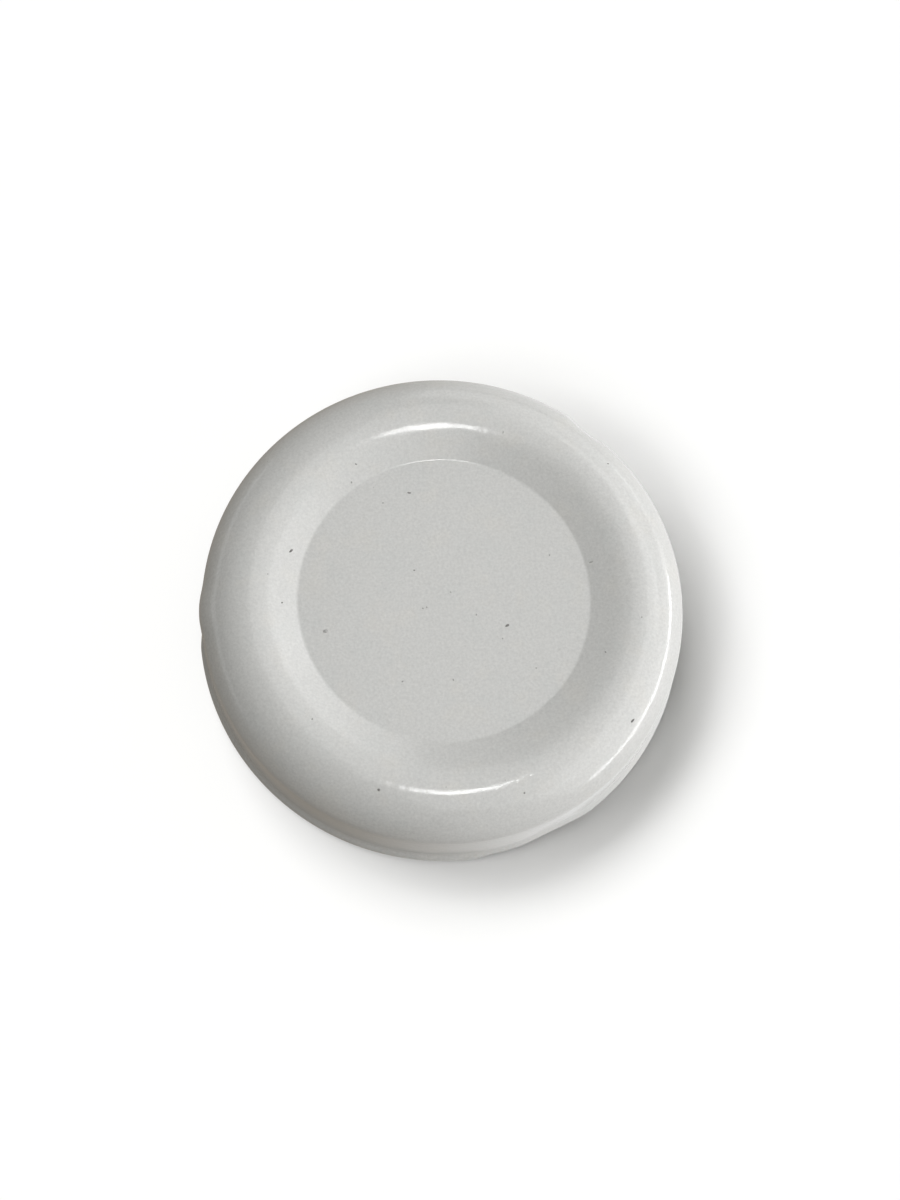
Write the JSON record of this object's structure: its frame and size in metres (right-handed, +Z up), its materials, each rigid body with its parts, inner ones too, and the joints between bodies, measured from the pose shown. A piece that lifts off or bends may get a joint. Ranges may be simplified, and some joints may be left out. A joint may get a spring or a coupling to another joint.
{
  "type": "twist-off bottle cap",
  "caption": "Round white-lacquered twist-off cap: sunk flat panel, raised ring, short skirt with rolled curl, inward lugs that grip a bottle's thread and a gasket that seals its rim.",
  "frame": {"origin": "centre of the flat under the rolled curl, where the cap stands on a bench", "axes": "+Z up along the axis of the cap through the middle of its panel; +X is the picture's right and +Y its top"},
  "size_m": [0.0412, 0.0412, 0.0095],
  "materials": {
    "white_lacquer": "satin-gloss white lacquer on tinplate",
    "seal_compound": "smooth satin flowed-in compound"
  },
  "bodies": {
    "root": {"cap_shell": "white_lacquer", "seal_ring": "seal_compound"}
  },
  "joints": []
}
